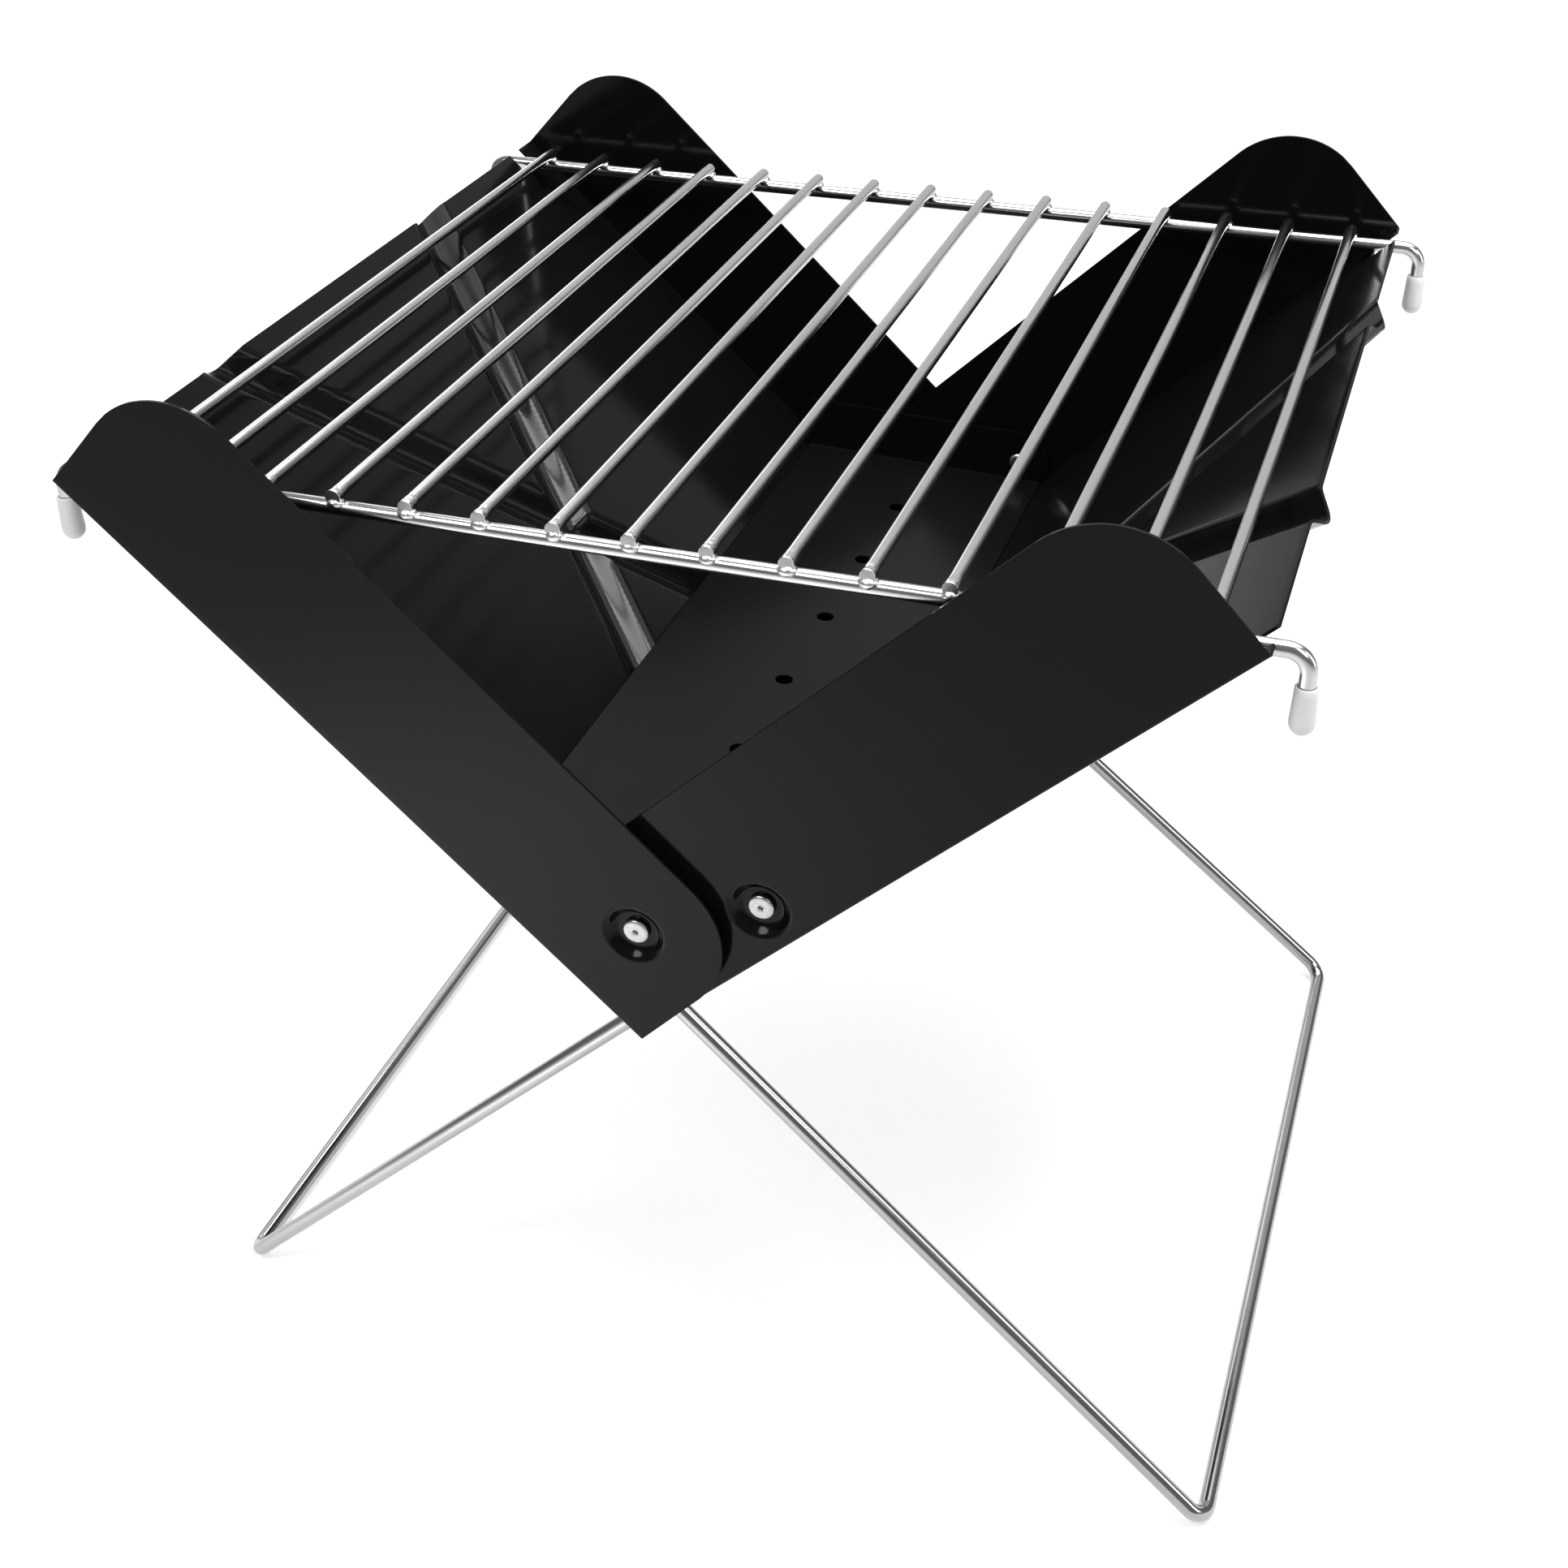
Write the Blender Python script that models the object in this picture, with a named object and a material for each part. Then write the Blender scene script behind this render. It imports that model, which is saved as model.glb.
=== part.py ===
"""Folding camp grill: two pressed trays hinged into a V firebox, a perforated base
plate, a lift-off wire grate and two folding wire legs.

+X runs to the right, +Y to the back and +Z up, in metres. The feet stand on Z = 0.
Section sizes are worked out in the (x, z) plane, where the V's apex is a line along Y.
"""

from math import atan2, cos, pi, radians, sin

import bmesh
import bpy
from mathutils import Matrix, Vector

MM = 0.001

# Driving dimensions of the V
LEAN = radians(46.6)             # lean of each panel from the vertical
APEX_HEIGHT = 170.2 * MM         # apex of the V above the ground
PANEL_LENGTH = 234.0 * MM        # from the apex to the top edge
LEFT_HALF_DEPTH = 162.0 * MM     # middle to flange: the left tray's flanges are outermost
RIGHT_HALF_DEPTH = 157.5 * MM    # and the right tray's close inside them
SHEET = 1.0 * MM
PIVOT_FROM_PANEL = 29.0 * MM     # tray rivet, from either panel's outer face
APEX_RELIEF = 1.7 * MM           # the panel edge stops short of the other tray
TOP_CORNER_RADIUS = 28.2 * MM
GAP = 0.3 * MM                   # between pieces that touch

# Pressed grooves, an X on each panel that bulges outward
GROOVE_WIDTH = 20.5 * MM
GROOVE_DEPTH = 5.8 * MM
GROOVE_SPREAD = 72.0 * MM        # half the distance between the groove ends
GROOVE_FULLNESS = 2.4            # how flat the groove's bottom is
GROOVE_SHOULDER = 1.5            # how softly it meets the panel
GROOVE_STEPS = 12

# Dishes that sink the rivet heads
DISH_RADIUS = 9.2 * MM
DISH_FLOOR_RADIUS = 6.6 * MM
DISH_DEPTH = 3.0 * MM
RIVET_RADIUS = 2.0 * MM
RIVET_HEAD_RADIUS = 4.0 * MM
RIVET_HEAD_HEIGHT = 1.5 * MM
RIVET_TAIL_RADIUS = 3.4 * MM
RIVET_TAIL_HEIGHT = 1.2 * MM

# Base plate
PLATE_RIVET_ALONG = 64.4 * MM    # along the right panel from the apex
PLATE_RIVET_IN = 13.6 * MM       # from the right panel's outer face
PLATE_TILT = radians(2.4)        # the free edge is a little higher
PLATE_DROP = 7.6 * MM            # floor's upper face below its rivets
PLATE_SWING = 12.2 * MM          # reach of the plate beyond its rivets
HOLE_RADIUS = 3.05 * MM
HOLE_PITCH = 45.4 * MM
HOLE_COUNT = 6
HOLE_MIDDLE = -2.4 * MM          # the row's middle, in front of the plate's

# Grate
ROD_COUNT = 15
ROD_PITCH = 22.0 * MM
ROD_RADIUS = 1.9 * MM
ROD_HALF_LENGTH = 149.5 * MM
CROSSBAR_RADIUS = 2.3 * MM
CROSSBAR_Y = 146.5 * MM
CROSSBAR_ABOVE_APEX = 157.6 * MM
SLOT_WIDTH = 9.3 * MM
HOOK_X = 178.4 * MM
HOOK_BEND = 6.0 * MM
HOOK_DROP = 21.9 * MM
CAP_LENGTH = 14.0 * MM
CAP_MOUTH_RADIUS = 3.0 * MM
CAP_RADIUS = 3.5 * MM
CAP_END = 1.2 * MM               # plastic below the wire's end

# Legs
LEG_RADIUS = 2.75 * MM
LEG_BEND = 7.0 * MM
PIN_BEND = 5.0 * MM
PIN_LENGTH = 15.0 * MM
LEG_PIVOT_ALONG = 14.0 * MM      # pin along the panel from the apex
LEG_PIVOT_OUT = 3.3 * MM         # pin outside the panel's outer face
RIGHT_FOOT_X = 183.4 * MM        # from the apex
LEFT_FOOT_X = 174.1 * MM
RIGHT_ARM_Y = (135.8 * MM, 150.0 * MM)   # at the pin and at the foot
LEFT_ARM_Y = (129.4 * MM, 141.1 * MM)
CLIP_WIDTH = 8.0 * MM
CLIP_HALF_LENGTH = 5.2 * MM
CLIP_WALL = 1.2 * MM

# The overall width is centred on X = 0
APEX_X = ((HOOK_X + CAP_RADIUS) - (RIGHT_FOOT_X + LEG_RADIUS)) / 2
APEX = Vector((APEX_X, 0.0, APEX_HEIGHT))

# Section of a flange, along the panel (u) and inward from its outer face (w)
PIVOT_ALONG = PIVOT_FROM_PANEL * cos(LEAN) / sin(LEAN)
FLANGE_HEIGHT = PIVOT_FROM_PANEL + PIVOT_ALONG
SLOT_BOTTOM = (CROSSBAR_ABOVE_APEX - CROSSBAR_RADIUS - GAP - SHEET * sin(LEAN)) / cos(LEAN)


def panel_frame(side):
    """Local axes of a tray: X up the panel, Z inward from its outer face."""
    along = Vector((side * sin(LEAN), 0.0, cos(LEAN)))
    inward = Vector((-side * cos(LEAN), 0.0, sin(LEAN)))
    across = inward.cross(along)
    frame = Matrix((along, across, inward)).transposed().to_4x4()
    frame.translation = APEX
    return frame


# From a section's own axes (X across, Y inward, Z along) to a tray's
SECTION_TO_TRAY = Matrix(((0, 0, 1, 0), (1, 0, 0, 0), (0, 1, 0, 0), (0, 0, 0, 1)))

LEFT_FRAME = panel_frame(-1)
RIGHT_FRAME = panel_frame(1)
TRAY_PIVOT = APEX + Vector((0.0, 0.0, PIVOT_FROM_PANEL / sin(LEAN)))
PLATE_PIVOT = RIGHT_FRAME @ Vector((PLATE_RIVET_ALONG, 0.0, PLATE_RIVET_IN))
PLATE_HALF_DEPTH = RIGHT_HALF_DEPTH - DISH_DEPTH - SHEET - GAP


def new_collection(name):
    collection = bpy.data.collections.new(name)
    bpy.context.scene.collection.children.link(collection)
    return collection


def make_material(name, colour, metallic, roughness):
    material = bpy.data.materials.new(name)
    material.use_nodes = True
    shader = material.node_tree.nodes["Principled BSDF"]
    shader.inputs["Base Color"].default_value = (*colour, 1.0)
    shader.inputs["Metallic"].default_value = metallic
    shader.inputs["Roughness"].default_value = roughness
    return material


def add_object(name, data, collection, material=None):
    obj = bpy.data.objects.new(name, data)
    collection.objects.link(obj)
    if material:
        data.materials.append(material)
    return obj


def add_cutter(name, data):
    obj = add_object(name, data, cutters)
    obj.hide_render = True
    obj.display_type = "WIRE"
    return obj


def add_pivot(name, location):
    """Empty on a joint's axis, which the moving pieces are parented to."""
    pivot = add_object(name, None, grill)
    pivot.location = location
    return pivot


def hang_on(obj, pivot):
    obj.parent = pivot
    obj.matrix_parent_inverse = Matrix.Translation(-pivot.location)


def set_origin(obj, point):
    """Move a piece's origin to a point without moving the piece."""
    obj.data.transform(Matrix.Translation(-point))
    obj.matrix_world = Matrix.Translation(point)


def smooth(mesh, angle=35.0):
    mesh.shade_smooth()
    mesh.set_sharp_from_angle(angle=radians(angle))


def box_mesh(name, low, high):
    mesh = bpy.data.meshes.new(name)
    builder = bmesh.new()
    bmesh.ops.create_cube(builder, size=1.0)
    middle = (Vector(low) + Vector(high)) / 2
    size = Vector(high) - Vector(low)
    bmesh.ops.transform(builder, verts=builder.verts, matrix=Matrix.LocRotScale(middle, None, size))
    builder.to_mesh(mesh)
    builder.free()
    return mesh


def cylinder_mesh(name, radius, start, end, sides=16):
    """Cylinder along Y from start to end."""
    mesh = bpy.data.meshes.new(name)
    builder = bmesh.new()
    bmesh.ops.create_cone(
        builder, cap_ends=True, segments=sides, radius1=radius, radius2=radius, depth=end - start
    )
    turn = Matrix.Rotation(pi / 2, 4, "X")
    lift = Matrix.Translation((0.0, (start + end) / 2, 0.0))
    bmesh.ops.transform(builder, verts=builder.verts, matrix=lift @ turn)
    builder.to_mesh(mesh)
    builder.free()
    return mesh


def arc_points(centre, radius, start, end, steps):
    """Points on an arc in a plane, from angle start to angle end."""
    angles = [start + (end - start) * i / steps for i in range(steps + 1)]
    return [(centre[0] + radius * cos(a), centre[1] + radius * sin(a)) for a in angles]


def curve_to_mesh(curve, name):
    """Closed mesh of a curve, with its caps welded."""
    obj = bpy.data.objects.new(name, curve)
    bpy.context.scene.collection.objects.link(obj)
    bpy.context.view_layer.update()
    evaluated = obj.evaluated_get(bpy.context.evaluated_depsgraph_get())
    mesh = bpy.data.meshes.new_from_object(evaluated)
    mesh.name = name
    builder = bmesh.new()
    builder.from_mesh(mesh)
    bmesh.ops.remove_doubles(builder, verts=builder.verts, dist=0.001 * MM)
    bmesh.ops.recalc_face_normals(builder, faces=builder.faces)
    builder.to_mesh(mesh)
    builder.free()
    bpy.data.objects.remove(obj)
    bpy.data.curves.remove(curve)
    return mesh


def outline_mesh(name, outline, half_thickness):
    """Flat outline in the XY plane, thickened both ways along Z."""
    curve = bpy.data.curves.new(name, "CURVE")
    curve.dimensions = "2D"
    curve.fill_mode = "BOTH"
    curve.extrude = half_thickness
    spline = curve.splines.new("POLY")
    spline.points.add(len(outline) - 1)
    for point, (x, y) in zip(spline.points, outline):
        point.co = (x, y, 0.0, 1.0)
    spline.use_cyclic_u = True
    return curve_to_mesh(curve, name)


def fillet(corners, radii, steps=6):
    """Wire centre line through the corners, with an arc of the given radius at each."""
    path = [corners[0]]
    for before, corner, after, radius in zip(corners, corners[1:], corners[2:], radii):
        back = (before - corner).normalized()
        ahead = (after - corner).normalized()
        half = back.angle(ahead) / 2
        reach = radius * cos(half) / sin(half)
        centre = corner + (back + ahead).normalized() * (radius / sin(half))
        start = corner + back * reach - centre
        axis = start.cross(corner + ahead * reach - centre).normalized()
        sweep = pi - 2 * half
        path += [centre + Matrix.Rotation(sweep * i / steps, 3, axis) @ start for i in range(steps + 1)]
    path.append(corners[-1])
    return path


def wire_mesh(name, path, radius):
    curve = bpy.data.curves.new(name, "CURVE")
    curve.dimensions = "3D"
    curve.bevel_depth = radius
    curve.bevel_resolution = 2
    curve.use_fill_caps = True
    spline = curve.splines.new("POLY")
    spline.points.add(len(path) - 1)
    for point, place in zip(spline.points, path):
        point.co = (*place, 1.0)
    mesh = curve_to_mesh(curve, name)
    smooth(mesh, 50.0)
    return mesh


def turned(name, profile, axis_point, outward, steps=16):
    """Solid of revolution about an axis along Y: radius and distance pairs.

    outward is -1 for a piece that faces the front and 1 for one that faces the back.
    """
    mesh = bpy.data.meshes.new(name)
    builder = bmesh.new()
    places = [builder.verts.new((radius, outward * distance, 0.0)) for radius, distance in profile]
    loop = list(zip(places, places[1:]))
    if profile[0][0] > 0.0:
        loop.append((places[-1], places[0]))
    edges = [builder.edges.new(pair) for pair in loop]
    bmesh.ops.spin(
        builder, geom=places + edges, cent=(0, 0, 0), axis=(0, 1, 0), angle=2 * pi, steps=steps,
        use_merge=True,
    )
    bmesh.ops.remove_doubles(builder, verts=builder.verts, dist=0.001 * MM)
    bmesh.ops.recalc_face_normals(builder, faces=builder.faces)
    builder.to_mesh(mesh)
    builder.free()
    mesh.transform(Matrix.Translation(axis_point))
    smooth(mesh)
    return mesh


def boolean(obj, tool, operation):
    modifier = obj.modifiers.new(tool.name, "BOOLEAN")
    modifier.object = tool
    modifier.operation = operation


def bake(obj):
    """Replace a piece's mesh by its evaluated one and drop its modifiers."""
    bpy.context.view_layer.update()
    evaluated = obj.evaluated_get(bpy.context.evaluated_depsgraph_get())
    mesh = bpy.data.meshes.new_from_object(evaluated)
    obj.modifiers.clear()
    obj.data = mesh


# Trays

def flange_outline():
    """Side view of a flange, square at the apex and round at its three other corners."""
    pivot = (PIVOT_ALONG, PIVOT_FROM_PANEL)
    top = (PANEL_LENGTH - TOP_CORNER_RADIUS, FLANGE_HEIGHT - TOP_CORNER_RADIUS)
    outline = [(0.0, -2 * GROOVE_DEPTH), (PANEL_LENGTH, -2 * GROOVE_DEPTH)]
    outline += arc_points(top, TOP_CORNER_RADIUS, 0.0, pi / 2, 10)
    outline += arc_points(pivot, PIVOT_ALONG, pi / 2, pi, 10)
    return outline


def channel_outline(half):
    """Section across a tray: the panel with a flange at each end."""
    inner = half - SHEET
    return [
        (-half, 0.0), (half, 0.0), (half, FLANGE_HEIGHT + SHEET), (inner, FLANGE_HEIGHT + SHEET),
        (inner, SHEET), (-inner, SHEET), (-inner, FLANGE_HEIGHT + SHEET),
        (-half, FLANGE_HEIGHT + SHEET),
    ]


def dish_profile():
    """Pressed dish in a flange, as radius and distance outward from the flange's outer face."""
    hole = RIVET_RADIUS + GAP
    wall = SHEET / 2
    return [
        (DISH_RADIUS + wall, 0.0), (DISH_RADIUS, 0.0), (DISH_FLOOR_RADIUS, -DISH_DEPTH),
        (hole, -DISH_DEPTH), (hole, -DISH_DEPTH - SHEET), (DISH_FLOOR_RADIUS + wall, -DISH_DEPTH - SHEET),
        (DISH_RADIUS + wall, -SHEET),
    ]


def groove_depth(across):
    """Depth of a groove at a distance from its middle line: a full round between soft shoulders."""
    share = min(1.0, abs(across) * 2 / GROOVE_WIDTH)
    return GROOVE_DEPTH * (1 - share**GROOVE_FULLNESS) ** GROOVE_SHOULDER


def groove_mesh(name, direction, surface, lid):
    """Bar that follows a groove from end to end, between its curved surface and a flat lid."""
    steps = [GROOVE_WIDTH * (i / GROOVE_STEPS - 0.5) for i in range(GROOVE_STEPS + 1)]
    section = [(across, surface - groove_depth(across)) for across in steps]
    section += [(steps[-1], lid), (steps[0], lid)]
    angle = atan2(2 * direction * GROOVE_SPREAD, PANEL_LENGTH)
    bar = outline_mesh(name, section, PANEL_LENGTH / 2 / cos(angle) + GROOVE_WIDTH)
    turn = Matrix.Rotation(angle, 4, "Z") @ SECTION_TO_TRAY
    bar.transform(Matrix.Translation((PANEL_LENGTH / 2, 0.0, 0.0)) @ turn)
    return bar


def make_tray(name, side, half, relief_half, dished, drilled):
    """One tray. dished and drilled are the rivets it takes, sunk or plain, at both ends."""
    frame = RIGHT_FRAME if side > 0 else LEFT_FRAME
    channel = outline_mesh(name, channel_outline(half), PANEL_LENGTH / 2)
    channel.transform(Matrix.Translation((PANEL_LENGTH / 2, 0.0, 0.0)) @ SECTION_TO_TRAY)
    tray = add_object(name, channel, grill)
    tray.matrix_world = frame

    def tool(kind, mesh, matrix, operation):
        cutter = add_cutter(f"{name}_{kind}", mesh)
        cutter.matrix_world = matrix
        boolean(tray, cutter, operation)

    for direction, letter in ((1, "a"), (-1, "b")):
        tool(f"bulge_{letter}", groove_mesh("bulge", direction, 0.0, SHEET / 2), frame, "UNION")
    for direction, letter in ((1, "a"), (-1, "b")):
        tool(f"groove_{letter}", groove_mesh("groove", direction, SHEET, 3 * SHEET), frame, "DIFFERENCE")
    trim = outline_mesh("trim", flange_outline(), 2 * half)
    trim.transform(Matrix.Rotation(pi / 2, 4, "X"))
    tool("trim", trim, frame, "INTERSECT")

    # Where the other tray's panel is, this one stops short of it at the apex
    relief = box_mesh(
        "relief", (-APEX_RELIEF, -relief_half, -3 * GROOVE_DEPTH), (APEX_RELIEF, relief_half, FLANGE_HEIGHT)
    )
    tool("relief", relief, frame, "DIFFERENCE")

    for end, where in ((-1, "front"), (1, "rear")):
        # Slot for the grate's crossbar, open at the top edge
        middle = side * end * CROSSBAR_Y
        slot = box_mesh(
            "slot", (SLOT_BOTTOM, middle - SLOT_WIDTH / 2, -3 * GROOVE_DEPTH),
            (PANEL_LENGTH + SHEET, middle + SLOT_WIDTH / 2, 4 * SHEET),
        )
        tool(f"slot_{where}", slot, frame, "DIFFERENCE")
        face = Vector((0.0, end * half, 0.0))
        place = dished + face
        knockout = cylinder_mesh("knockout", DISH_RADIUS + SHEET / 4, -2 * SHEET, 2 * SHEET, 32)
        tool(f"knockout_{where}", knockout, Matrix.Translation(place), "DIFFERENCE")
        dish = turned("dish", dish_profile(), place, end, 32)
        tool(f"dish_{where}", dish, Matrix.Identity(4), "UNION")
        if drilled:
            drill = cylinder_mesh("drill", RIVET_RADIUS + GAP, -2 * SHEET, 2 * SHEET)
            tool(f"drill_{where}", drill, Matrix.Translation(drilled + face), "DIFFERENCE")
    bake(tray)
    tray.data.materials.clear()
    tray.data.materials.append(black_enamel)
    smooth(tray.data)
    return tray


# Base plate

def plate_frame():
    """X from the plate's rivets towards its free edge, Z up from its floor."""
    along = Vector((-cos(PLATE_TILT), 0.0, sin(PLATE_TILT)))
    up = Vector((sin(PLATE_TILT), 0.0, cos(PLATE_TILT)))
    frame = Matrix((along, up.cross(along), up)).transposed().to_4x4()
    frame.translation = PLATE_PIVOT
    return frame


def plate_reach():
    """Distance from the rivets to the free edge, which stops just short of the left panel."""
    inward = LEFT_FRAME.to_3x3().col[2]
    frame = plate_frame().to_3x3()
    under = -(PLATE_DROP + SHEET)
    start = inward.dot(PLATE_PIVOT - APEX) + inward.dot(frame.col[2]) * under
    return (start - SHEET - 2 * GAP) / -inward.dot(frame.col[0])


def make_base_plate():
    frame = plate_frame()
    reach = plate_reach()
    under = -(PLATE_DROP + SHEET)
    corner = (PLATE_SWING**2 - under**2) ** 0.5
    # Side view: level top, rounded about the rivets at the hinged end
    outline = [(reach, under), (reach, PLATE_SWING)]
    outline += arc_points((0.0, 0.0), PLATE_SWING, pi / 2, pi + atan2(-under, corner), 12)
    body = outline_mesh("base_plate", outline, PLATE_HALF_DEPTH)
    body.transform(Matrix.Rotation(pi / 2, 4, "X"))
    plate = add_object("base_plate", body, grill)
    plate.matrix_world = frame

    hollow = box_mesh(
        "hollow", (-2 * PLATE_SWING, SHEET - PLATE_HALF_DEPTH, -PLATE_DROP),
        (reach + SHEET, PLATE_HALF_DEPTH - SHEET, 2 * PLATE_SWING),
    )
    cutter = add_cutter("base_plate_hollow", hollow)
    cutter.matrix_world = frame
    boolean(plate, cutter, "DIFFERENCE")

    long_drill = cylinder_mesh("drill", RIVET_RADIUS + GAP, -2 * PLATE_HALF_DEPTH, 2 * PLATE_HALF_DEPTH)
    drill = add_cutter("base_plate_rivet_hole", long_drill)
    drill.matrix_world = frame
    boolean(plate, drill, "DIFFERENCE")

    # The row of air holes stands straight above the apex
    along = (PLATE_PIVOT.x - APEX_X) / cos(PLATE_TILT)
    for index in range(HOLE_COUNT):
        y = (index - (HOLE_COUNT - 1) / 2) * HOLE_PITCH + HOLE_MIDDLE
        punch = cylinder_mesh("punch", HOLE_RADIUS, -4 * PLATE_DROP, 0.0, 12)
        punch.transform(Matrix.Rotation(pi / 2, 4, "X"))
        hole = add_cutter(f"air_hole_{index + 1}", punch)
        hole.matrix_world = frame @ Matrix.Translation((along, -y, 0.0))
        boolean(plate, hole, "DIFFERENCE")
    bake(plate)
    plate.data.materials.clear()
    plate.data.materials.append(grey_enamel)
    smooth(plate.data)
    return plate


# Rivets

def make_rivet(name, place, head_face, tail_face, end):
    """Rivet along Y. head_face and tail_face are distances outward from the middle."""
    head = head_face + GAP
    tail = tail_face - GAP
    profile = [
        (0.0, head + RIVET_HEAD_HEIGHT),
        (RIVET_HEAD_RADIUS * 0.75, head + RIVET_HEAD_HEIGHT * 0.9),
        (RIVET_HEAD_RADIUS, head + RIVET_HEAD_HEIGHT * 0.4),
        (RIVET_HEAD_RADIUS, head),
        (RIVET_RADIUS, head),
        (RIVET_RADIUS, tail),
        (RIVET_TAIL_RADIUS, tail),
        (RIVET_TAIL_RADIUS, tail - RIVET_TAIL_HEIGHT),
        (0.0, tail - RIVET_TAIL_HEIGHT),
    ]
    return add_object(name, turned(name, profile, place, end), grill, aluminium)


def make_rivets():
    for end, where in ((-1, "front"), (1, "rear")):
        make_rivet(
            f"tray_rivet_{where}", TRAY_PIVOT, LEFT_HALF_DEPTH - DISH_DEPTH, RIGHT_HALF_DEPTH - SHEET, end
        )
        make_rivet(
            f"plate_rivet_{where}", PLATE_PIVOT, RIGHT_HALF_DEPTH - DISH_DEPTH, PLATE_HALF_DEPTH - SHEET, end
        )


# Grate

def make_grate():
    bar_height = APEX_HEIGHT + CROSSBAR_ABOVE_APEX
    rod_height = bar_height + CROSSBAR_RADIUS + ROD_RADIUS + GAP / 2
    pivot = add_pivot("grate_slide", Vector((APEX_X, 0.0, bar_height)))
    pieces = []
    for index in range(ROD_COUNT):
        name = f"grate_rod_{index + 1:02d}"
        mesh = cylinder_mesh(name, ROD_RADIUS, -ROD_HALF_LENGTH, ROD_HALF_LENGTH, 10)
        x = APEX_X + (index - (ROD_COUNT - 1) / 2) * ROD_PITCH
        mesh.transform(Matrix.Translation((x, 0.0, rod_height)))
        smooth(mesh)
        pieces.append(add_object(name, mesh, grill, chrome))
    for end, where in ((-1, "front"), (1, "rear")):
        name = f"grate_crossbar_{where}"
        y = end * CROSSBAR_Y
        low = bar_height - HOOK_DROP
        corners = [
            Vector((APEX_X - HOOK_X, y, low)), Vector((APEX_X - HOOK_X, y, bar_height)),
            Vector((APEX_X + HOOK_X, y, bar_height)), Vector((APEX_X + HOOK_X, y, low)),
        ]
        mesh = wire_mesh(name, fillet(corners, (HOOK_BEND, HOOK_BEND)), CROSSBAR_RADIUS)
        pieces.append(add_object(name, mesh, grill, chrome))
        for side, hand in ((-1, "left"), (1, "right")):
            pieces.append(make_cap(f"tip_cap_{where}_{hand}", APEX_X + side * HOOK_X, y, low))
    for piece in pieces:
        hang_on(piece, pivot)


def make_cap(name, x, y, wire_end):
    """Plastic cap pushed over the end of a hook: a turned thimble with a round end."""
    bore = CROSSBAR_RADIUS + GAP
    bottom = wire_end - GAP - CAP_END
    top = bottom + CAP_LENGTH
    belly = bottom + CAP_RADIUS
    round_end = arc_points((0.0, belly), CAP_RADIUS, 0.0, -pi / 2, 5)
    profile = [(0.0, wire_end - GAP), (bore, wire_end - GAP), (bore, top), (CAP_MOUTH_RADIUS, top)]
    profile += round_end[:-1] + [(0.0, bottom)]
    mesh = turned(name, profile, Vector((0.0, 0.0, 0.0)), 1, 14)
    mesh.transform(Matrix.Translation((x, y, 0.0)) @ Matrix.Rotation(pi / 2, 4, "X"))
    return add_object(name, mesh, grill, white_plastic)


# Legs

def leg_pivot(side):
    """Pin of the leg whose foot lies on the given side: it is on the other side's panel."""
    frame = LEFT_FRAME if side > 0 else RIGHT_FRAME
    return frame @ Vector((LEG_PIVOT_ALONG, 0.0, -LEG_PIVOT_OUT))


def make_leg(name, side, foot_x, arm_y):
    """U of wire with its two ends bent inward as pins."""
    pivot = leg_pivot(side)
    foot = Vector((APEX_X + side * foot_x, 0.0, LEG_RADIUS))
    at_pin, at_foot = arm_y

    def place(base, y):
        return base + Vector((0.0, y, 0.0))

    corners = [
        place(pivot, at_pin - PIN_LENGTH), place(pivot, at_pin), place(foot, at_foot),
        place(foot, -at_foot), place(pivot, -at_pin), place(pivot, PIN_LENGTH - at_pin),
    ]
    path = fillet(corners, (PIN_BEND, LEG_BEND, LEG_BEND, PIN_BEND))
    leg = add_object(name, wire_mesh(name, path, LEG_RADIUS), grill, chrome)
    set_origin(leg, pivot)
    return leg


def make_clip(name, side, y):
    """Saddle on the outside of a panel, bored for the leg's pin."""
    frame = LEFT_FRAME if side > 0 else RIGHT_FRAME
    bore = LEG_RADIUS + GAP
    height = LEG_PIVOT_OUT + bore + CLIP_WALL
    local_y = frame.to_3x3().col[1].y * y
    half = CLIP_WIDTH / 2
    outline = [(CLIP_HALF_LENGTH, -GAP), (-CLIP_HALF_LENGTH, -GAP)]
    outline += arc_points((0.0, -LEG_PIVOT_OUT), bore + CLIP_WALL, -pi, 0.0, 10)
    outline = [(x, max(z, -height)) for x, z in outline]
    body = outline_mesh(name, outline, half)
    body.transform(Matrix.Rotation(pi / 2, 4, "X"))
    clip = add_object(name, body, grill)
    clip.matrix_world = frame @ Matrix.Translation((LEG_PIVOT_ALONG, local_y, 0.0))
    drill = add_cutter(f"{name}_bore", cylinder_mesh("drill", bore, -CLIP_WIDTH, CLIP_WIDTH))
    drill.matrix_world = clip.matrix_world @ Matrix.Translation((0.0, 0.0, -LEG_PIVOT_OUT))
    boolean(clip, drill, "DIFFERENCE")
    bake(clip)
    clip.data.materials.clear()
    clip.data.materials.append(black_enamel)
    smooth(clip.data)
    return clip


# The whole grill

for old in list(bpy.data.objects):
    bpy.data.objects.remove(old, do_unlink=True)

grill = new_collection("folding_camp_grill")
cutters = new_collection("cutters")
black_enamel = make_material("black_enamel", (0.012, 0.012, 0.013), 0.0, 0.42)
grey_enamel = make_material("grey_enamel", (0.02, 0.02, 0.022), 0.0, 0.5)
chrome = make_material("chrome", (0.62, 0.62, 0.62), 1.0, 0.16)
aluminium = make_material("aluminium", (0.55, 0.55, 0.56), 1.0, 0.35)
white_plastic = make_material("white_plastic", (0.75, 0.74, 0.72), 0.0, 0.45)

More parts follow.
